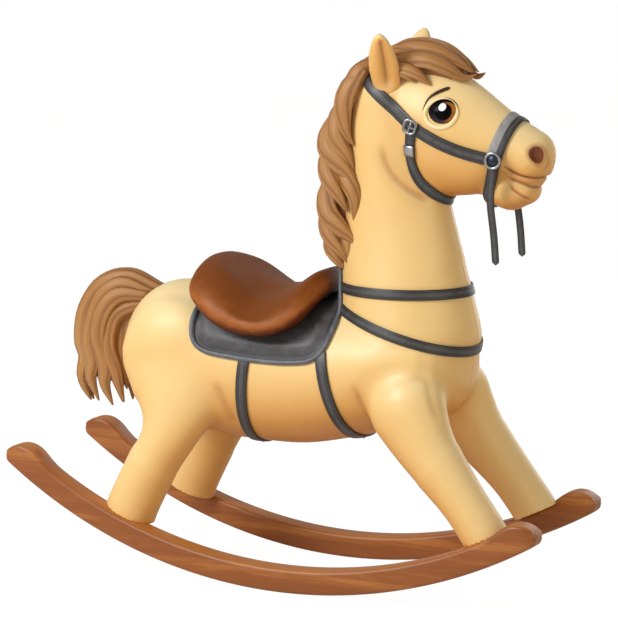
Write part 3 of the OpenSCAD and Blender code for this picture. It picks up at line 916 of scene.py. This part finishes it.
for hand, side in SIDES.items():
    rows = []
    for step in range(25):
        a = radians(-11 + 101 * step / 24)
        wide = 30 * max(cos(a), 0.004)
        rows.append([Vector((EYE.x + wide * cos(b), side * (EYE.y + 30 * sin(a)),
                             EYE.z - 3 + 0.86 * wide * sin(b))) * MM
                     for b in turns(64)])
    piece(f"eye_{hand}", skin(bmesh.new(), rows), "eye_glass")

    rim = [side_hit(SKIN, EYE.x + 24 * cos(a), EYE.z - 3.5 + 20.5 * sin(a), side)
           for a in turns(72)]
    rim = smoothed(rim, 3, True)
    ups = [(Vector((0, side, 0)) + on_skin(p)[1]).normalized() for p in rim]
    rim = [p + up * 0.6 * MM for p, up in zip(rim, ups)]
    bm = sweep(bmesh.new(), rim, ups, oval(7.0, 4.6, 16), True)
    piece(f"eyelid_{hand}", bm, "lid_paint")

    guide = side_path(SKIN, [(234, 743), (238, 755), (244, 763), (255, 770), (269, 776)], 24)
    path = on_side(guide, side)
    rows = []
    for i, (p, way) in enumerate(zip(path, headings(path))):
        spot, normal = on_skin(p, 0.8)
        sideways = way.cross(normal).normalized()
        t = i / (len(path) - 1)
        size = 0.5 + 2.3 * eased(t, 0.0, 0.75) * sqrt(max(1 - eased(t, 0.93, 1.0), 0.02))
        rows.append([spot + (sideways * a + normal * b) * size * MM for a, b in oval(2, 1.4)])
    piece(f"brow_{hand}", skin(bmesh.new(), rows), "brow_paint")

# Ear stations: x, y, z, half width, half thickness.
EAR = [(166, 38, 762, 17, 12), (168, 45, 782, 22, 13.5), (170, 57, 806, 24, 13),
       (172, 69, 828, 20, 11), (174, 80, 847, 11.5, 7.5), (175, 84, 855, 4, 3.5)]
for hand, side in SIDES.items():
    stations = smooth_line(EAR, 6)
    middles = [Vector((s[0], side * s[1], s[2])) for s in stations]
    rows, shades = [], []
    for i, (station, middle, way) in enumerate(zip(stations, middles, headings(middles))):
        t = i / (len(stations) - 1)
        front = Vector((1, 0, 0)) - way * way.x
        front.normalize()
        out = way.cross(front) if way.cross(front).y * side > 0 else front.cross(way)
        row, tones = [], []
        for a in turns(48):
            hollow = bell(atan2(sin(a - 1.15), cos(a - 1.15)), 0.5)
            depth = eased(t, 0.06, 0.3) * (1 - eased(t, 0.7, 0.93))
            pull = 1 - 0.62 * hollow * depth
            row.append((middle + (front * station[3] * cos(a) + out * station[4] * sin(a)) * pull)
                       * MM)
            # Painted shade in the ear's hollow.
            tones.append(0.5 * hollow ** 2 * depth)
        rows.append(row)
        shades.append(tones)
    piece(f"ear_{hand}", skin(bmesh.new(), rows, shades=shades), "body_paint")


# ---- Hair ----

def lock(bm, points, wide, deep, outward, twist=0.35, taper=0.4):
    """A tapered lock of hair along a line, fluted into strands. Its seam faces inwards."""
    path = evenly(smooth_line(points, 8), 30)
    rows, shades = [], []
    for i, (p, way) in enumerate(zip(path, headings(path))):
        t = i / (len(path) - 1)
        outer = (outward - way * outward.dot(way)).normalized()
        sideways = way.cross(outer)
        swell = (0.55 + 0.45 * eased(t, 0, 0.3)) * sqrt(max(1 - eased(t, taper, 1.02), 0.0005))
        row, tones = [], []
        for a in turns(36):
            turn = a + twist * 2 * pi * t
            flute = 0.5 + 0.3 * cos(5 * turn) + 0.2 * cos(8 * turn + 1.3)
            r = swell * (0.84 + 0.16 * flute)
            row.append((p + outer * (-deep * cos(a) * r) + sideways * wide * sin(a) * r) * MM)
            # Painted shade: darker in the flutes between strands and towards the lock's root.
            tones.append(0.5 * (1 - eased(flute, 0.1, 0.55)) + 0.3 * (1 - t) ** 3)
        rows.append(row)
        shades.append(tones)
    return skin(bm, rows, shades=shades)


def lock_pairs(bm, table, across, up, twist, taper=0.4):
    """Locks on both sides, whose outer faces look to their own side and along (across, up)."""
    for points, wide, deep in table:
        for side in SIDES.values():
            lock(bm, [(x, side * y, z) for x, y, z in points], wide, deep,
                 Vector((across, side, up)), twist * side, taper)


def hair_core(bm, stations, tail, nose, shrink, tint=0.55):
    inner = [(x, z, heading, high - shrink, wide - shrink) for x, z, heading, high, wide in stations]
    rows = station_rows(inner, tail, nose, 36, 5)
    # The core beneath the locks gets an even painted shade of tint.
    return skin(bm, rows, shades=[[tint] * 36 for _ in rows])


MANE = [(86, 512, 100, 20, 22), (88, 560, 94, 42, 44), (89, 620, 92, 47, 52),
        (93, 690, 90, 48, 52), (110, 745, 84, 42, 46), (132, 790, 70, 30, 36)]
# Locks of the mane's side: points in X, Y and Z, half width and half depth.
MANE_LOCKS = [
    ([(144, 26, 806), (122, 34, 796), (106, 36, 766), (96, 34, 735), (94, 36, 702)], 18, 13),
    ([(130, 36, 800), (106, 44, 768), (98, 48, 738), (104, 52, 705), (118, 52, 684)], 19, 12),
    ([(98, 30, 758), (87, 38, 726), (88, 47, 696), (106, 52, 668), (118, 50, 646)], 20, 13),
    ([(80, 22, 734), (70, 30, 708), (70, 42, 682), (88, 50, 660), (110, 54, 640), (127, 52, 616)],
     21, 13),
    ([(73, 22, 690), (67, 36, 655), (78, 48, 628), (94, 53, 606), (108, 52, 582)], 19, 13),
    ([(88, 40, 650), (110, 52, 628), (120, 54, 604), (118, 52, 570)], 15, 10),
    ([(68, 20, 640), (65, 34, 606), (74, 46, 576), (96, 52, 556), (114, 52, 542), (128, 50, 528)],
     20, 13),
    ([(68, 18, 600), (65, 32, 566), (76, 42, 540), (94, 48, 520), (106, 48, 504)], 18, 12),
    ([(70, 16, 556), (71, 30, 528), (84, 38, 506), (97, 38, 493)], 16, 11),
    ([(94, 34, 560), (106, 44, 532), (104, 44, 502)], 14, 10),
]
BACK_LOCKS = [
    ([(128, 0, 812), (104, 8, 780), (86, 4, 738), (74, -6, 698), (63, 2, 668)], 21, 13),
    ([(92, 0, 752), (73, -8, 712), (56, 4, 664), (57, 8, 622), (54, -2, 592)], 22, 14),
    ([(64, 2, 680), (52, 8, 634), (53, -4, 590), (57, -8, 552), (62, 2, 524)], 22, 14),
    ([(58, 0, 610), (57, -8, 566), (66, 2, 526), (80, 4, 498)], 20, 13),
]
bm = hair_core(bmesh.new(), MANE, 14, 18, 9)
lock_pairs(bm, MANE_LOCKS, -0.35, 0.1, 0.3)
for points, wide, deep in BACK_LOCKS:
    lock(bm, points, wide, deep, Vector((-1, 0, 0.2)))
piece("mane", bm, "hair")

FORELOCK = [(158, 800, 8, 26, 38), (192, 806, 0, 27, 40), (232, 803, -12, 25, 38),
            (262, 792, -24, 18, 32)]
FORELOCK_LOCKS = [
    ([(156, 26, 804), (196, 32, 816), (232, 34, 816), (262, 32, 804), (286, 24, 790),
      (304, 16, 796)], 17, 11),
    ([(164, 34, 800), (196, 44, 804), (220, 47, 795), (242, 44, 779)], 13, 9),
    ([(152, 14, 818), (196, 18, 832), (238, 18, 828), (272, 16, 812), (296, 10, 797)], 17, 11),
    ([(150, 30, 796), (176, 40, 802), (198, 46, 795), (214, 47, 784)], 12, 8),
]
FORELOCK_TOP = [
    ([(126, 0, 812), (162, 4, 826), (204, -4, 834), (242, 2, 828), (272, 4, 815), (291, 0, 799)],
     18, 11),
    ([(114, -14, 806), (150, -18, 820), (190, -22, 828), (222, -20, 822), (248, -14, 814)], 16, 10),
    ([(114, 14, 806), (150, 18, 820), (190, 22, 828), (222, 20, 822), (248, 14, 814)], 16, 10),
]
bm = hair_core(bmesh.new(), FORELOCK, 16, 16, 4)
lock_pairs(bm, FORELOCK_LOCKS, 0.1, 0.7, 0.2)
for points, wide, deep in FORELOCK_TOP:
    lock(bm, points, wide, deep, Vector((0, 0, 1)))
piece("forelock", bm, "hair")

TAIL_LOCKS = [
    ([(-240, 4, 432), (-299, 6, 449), (-348, 8, 432), (-377, 8, 392), (-386, 6, 345),
      (-380, 6, 316), (-388, 8, 286), (-384, 6, 262), (-374, 4, 244)], 19, 15),
    ([(-250, 14, 426), (-301, 18, 440), (-338, 20, 420), (-358, 20, 380), (-366, 20, 340),
      (-360, 18, 314), (-366, 18, 284), (-354, 14, 246)], 18, 13),
    ([(-256, 22, 424), (-305, 26, 424), (-334, 27, 398), (-346, 28, 358), (-340, 26, 332),
      (-334, 24, 304), (-338, 22, 276), (-327, 16, 241)], 18, 12),
    ([(-258, 18, 414), (-308, 22, 398), (-326, 24, 368), (-328, 26, 336), (-318, 24, 304),
      (-312, 20, 272), (-307, 14, 247)], 16, 11),
    ([(-262, 8, 408), (-300, 10, 384), (-310, 12, 354), (-311, 14, 321), (-306, 12, 288),
      (-304, 10, 268)], 15, 11),
]
TAIL = [(-258, 428, 165, 20, 18), (-310, 426, 195, 24, 22), (-338, 402, 230, 28, 26),
        (-348, 360, 258, 32, 30), (-346, 316, 270, 28, 26), (-344, 290, 276, 18, 18)]
bm = hair_core(bmesh.new(), TAIL, 10, 14, 3)
lock_pairs(bm, TAIL_LOCKS, -0.2, 0.1, 0.15, 0.62)
piece("tail", bm, "hair")


# ---- Saddle ----

def saddle_seat():
    """The padded seat, with its rim drawn in to the pad below it."""
    bm = remeshed(copy_of("saddle_seat"), 3.5)
    sizes = [[f(v.co[axis] for v in bm.verts) for f in (min, max)] for axis in range(3)]
    relax(bm, 45)
    for axis, (low, high) in enumerate(sizes):
        values = [v.co[axis] for v in bm.verts]
        scale = (high - low) / (max(values) - min(values))
        start = min(values)
        for v in bm.verts:
            v.co[axis] = low + (v.co[axis] - start) * scale
    bm.normal_update()
    for v in bm.verts:
        drop = eased(abs(v.co.y) / MM, 8, 60) * eased(v.normal.z, 0.3, 0.85)
        v.co.z -= 9 * MM * drop * bell(v.co.x / MM + 32, 42)
    low = sizes[2][0]
    for v in bm.verts:
        spot, normal, _, _ = SKIN.find_nearest(v.co)
        gap = (v.co - spot).length / MM
        edge = eased(v.co.z, low + 46 * MM, low + 14 * MM)
        v.co -= normal * (5.0 * edge * (1 - eased(gap, 14, 30))) * MM
    relax(bm, 8)
    return bm


seat = piece("saddle_seat", saddle_seat(), "saddle_leather")

# The frame pieces inside the shells, kept below the finished skin.
for name in ("keel_board", "front_bulkhead", "rear_bulkhead", "shell_screws", "post_screws"):
    bm = copy_of(name)
    for v in bm.verts:
        spot, normal, _, _ = SKIN.find_nearest(v.co)
        v.co -= normal * max(5.5 * MM - (spot - v.co).dot(normal), 0)
    thing = piece(name, bm, SLOTS[name])
    for face in thing.data.polygons:
        face.use_smooth = False
bm = copy_of("saddle_board")
for v in bm.verts:
    v.co.x = min(v.co.x, (20 + 0.3 * (v.co.x / MM - 20)) * MM)
piece("saddle_board", bm, "plywood")

bm = bmesh.new()
for guide in (GIRTHS["girth_front"], GIRTHS["girth_rear"]):
    for spot in [p for p in both_sides(guide) if 10 < abs(p.y) / MM < 14][::2]:
        place, _ = on_skin(spot, 2.4)
        bmesh.ops.create_uvsphere(bm, u_segments=20, v_segments=12, radius=2.6 * MM,
                                  matrix=Matrix.Translation(place))
piece("girth_tacks", bm, "steel")

# The pad's outline, seen from the side: its lower edge from the rear to the front, and where its
# columns meet the top.
PAD_FOOT = [(-139, 432), (-139.5, 396), (-131, 371), (-108, 358.5), (-60, 353), (-5, 350.5),
            (40, 352.5), (70, 358), (89, 374), (97, 398), (98, 432)]
PAD_REAR, PAD_FRONT, PAD_HIGH = -138, 84, 500


def pad_columns(count=64, rows=40):
    foot = evenly(side_line(PAD_FOOT), count)
    columns = []
    for i, low in enumerate(foot):
        share = i / (count - 1)
        top = PAD_REAR + (PAD_FRONT - PAD_REAR) * share
        guide = [(low.x, low.z), ((low.x + top) / 2, (low.z + PAD_HIGH) / 2), (top, PAD_HIGH)]
        columns.append(both_sides(guide, rows))
    return columns


COLUMNS = pad_columns()
EDGE = [column[0] for column in COLUMNS] + COLUMNS[-1][1:]
EDGE += [column[-1] for column in COLUMNS[-2::-1]] + COLUMNS[0][-2:0:-1]
RIM = smoothed(evenly(EDGE + EDGE[:1], 331)[:-1], 3, True)


def saddle_pad():
    """The pad: a panel that swells inside its seam, over the back and down both sides."""
    tree = tree_of(RIM)
    rows = [[on_skin(p, 0.4)[0] for p in column] for column in COLUMNS]
    bm = face_outwards(skin(bmesh.new(), rows, closed=False))
    bm.normal_update()
    shade = bm.verts.layers.float["shade"]
    made = bmesh.ops.extrude_face_region(bm, geom=bm.faces[:], use_keep_orig=True)["geom"]
    for v in [g for g in made if isinstance(g, bmesh.types.BMVert)]:
        away = tree.find(v.co)[2] / MM
        rise = 2.0 + 5.6 * eased(away, 6, 26)
        v[shade] = 0.8 * bell(away - 8.5, 2.2)
        v.co = v.co + on_skin(v.co)[1] * rise * MM
    return bm


pad = piece("saddle_pad", saddle_pad(), "pad_leather")
ups = smoothed([on_skin(p)[1] for p in RIM], 4, True)
path = [on_skin(p, 3.2)[0] for p in RIM]
piece("pad_piping", sweep(bmesh.new(), path, ups, oval(8.5, 6.4, 14), True), "piping_leather")


# ---- Rockers ----

def rocker(side):
    """A bow rocker. Its top swells before each end, and the ends are round."""
    toe, heel = (atan2(reach, sqrt(ROCK_RADIUS ** 2 - reach ** 2))
                 for reach in (ROCKER_REACH - ARC_CENTRE.x, ROCKER_REACH + ARC_CENTRE.x))
    ends = [0.02, 0.4, 1.2, 2.6, 4.6, 7.2, 10.5, 14.5, 19, 24, 30, 37, 45, 54, 64, 76, 90]
    arc = ROCK_RADIUS * (toe + heel)
    inner = [90 + (arc - 180) * k / 60 for k in range(1, 60)]
    rows = []
    for at in ends + inner + [arc - e for e in reversed(ends)]:
        angle = at / ROCK_RADIUS - heel
        end = min(at, arc - at)
        low = 15 * (1 - round_end(end, 14, 0.0008))
        high = ROCKER_DEPTH + 7 * bell(end - 40, 26) - 15
        high = 15 + high * round_end(end, 28, 0.0008) - low
        corner = min(6.5, high * 0.45)
        half = ROCKER_THICK / 2 - corner - 3 * (1 - eased(end, 0, 12))
        out = Vector((sin(angle), 0, -cos(angle)))
        row = []
        for quarter, (y, depth) in enumerate(((half, corner), (-half, corner),
                                              (-half, high - corner), (half, high - corner))):
            for step in range(6):
                a = pi / 2 * (quarter + step / 5)
                radial = ROCK_RADIUS - low - depth + corner * sin(a)
                row.append((ARC_CENTRE + out * radial
                            + Vector((0, side * ROCKER_Y + y + corner * cos(a), 0))) * MM)
        rows.append(row)
    return skin(bmesh.new(), rows)


for hand, side in SIDES.items():
    piece(f"rocker_{hand}", rocker(side), "rocker_wood")


# ---- The CAD pieces that stay ----

for node, thing in frame["nodes"].items():
    thing.data.materials.clear()
    thing.data.materials.append(FINISH[SLOTS[node]])


# ---- Floor, light and camera ----

def white_to_camera(tree, shader, white, share):
    """Mixes a shader with plain white where the camera sees it."""
    path = tree.nodes.new("ShaderNodeLightPath")
    seen = path.outputs["Is Camera Ray"]
    part = tree.nodes.new("ShaderNodeMath")
    part.operation = "MULTIPLY"
    part.inputs[1].default_value = share
    tree.links.new(seen, part.inputs[0])
    mix = tree.nodes.new("ShaderNodeMixShader")
    tree.links.new(part.outputs[0], mix.inputs[0])
    tree.links.new(shader, mix.inputs[1])
    tree.links.new(white, mix.inputs[2])
    return mix.outputs[0]


def stage():
    bm = bmesh.new()
    bmesh.ops.create_circle(bm, cap_ends=True, segments=96, radius=9)
    floor = shown("floor", bm)
    material = bpy.data.materials.new("floor")
    material.use_nodes = True
    tree = material.node_tree
    plain = tree.nodes["Principled BSDF"]
    plain.inputs["Base Color"].default_value = colour("#f4f3f1")
    plain.inputs["Roughness"].default_value = 0.9
    glow = tree.nodes.new("ShaderNodeEmission")
    glow.inputs["Strength"].default_value = 1.12
    mixed = white_to_camera(tree, plain.outputs[0], glow.outputs[0], 0.85)
    tree.links.new(mixed, tree.nodes["Material Output"].inputs["Surface"])
    floor.data.materials.append(material)

    world = bpy.data.worlds.new("studio")
    bpy.context.scene.world = world
    world.use_nodes = True
    tree = world.node_tree
    ambient = tree.nodes["Background"]
    ambient.inputs["Color"].default_value = (1.0, 0.93, 0.83, 1)
    ambient.inputs["Strength"].default_value = 0.38
    white = tree.nodes.new("ShaderNodeBackground")
    white.inputs["Color"].default_value = (1, 1, 1, 1)
    mixed = white_to_camera(tree, ambient.outputs[0], white.outputs[0], 1.0)
    tree.links.new(mixed, tree.nodes["World Output"].inputs["Surface"])


def aimed(name, data, place, target):
    thing = bpy.data.objects.new(name, data)
    bpy.context.scene.collection.objects.link(thing)
    thing.location = place
    thing.rotation_euler = (Vector(target) - Vector(place)).to_track_quat("-Z", "Y").to_euler()
    return thing


def lamp(name, place, power, size, tint=(1, 1, 1)):
    data = bpy.data.lights.new(name, "AREA")
    data.color = tint
    data.energy = power
    data.size = size
    aimed(name, data, place, (0.05, 0, 0.42))


def camera():
    azimuth, elevation, distance = radians(26), radians(9), 4.5
    right = Vector((cos(azimuth), sin(azimuth), 0))
    back = Vector((sin(azimuth) * cos(elevation), -cos(azimuth) * cos(elevation), sin(elevation)))
    target = Vector((0, 0, 0.43)) + right * 0.0156 - back.cross(right) * 0.0114
    data = bpy.data.cameras.new("camera")
    data.lens = 168
    data.sensor_width = 36
    bpy.context.scene.camera = aimed("camera", data, target + back * distance, target)


stage()
lamp("key", (-1.6, -2.6, 2.3), 92, 1.4)
lamp("fill", (2.8, -1.8, 1.2), 15, 2.0, (1, 0.86, 0.68))
lamp("rim", (-0.6, 2.4, 2.2), 1.5, 1.6)
lamp("left fill", (0.6, 2.9, 0.9), 18, 1.8)
camera()
bpy.context.scene.view_settings.view_transform = "Standard"
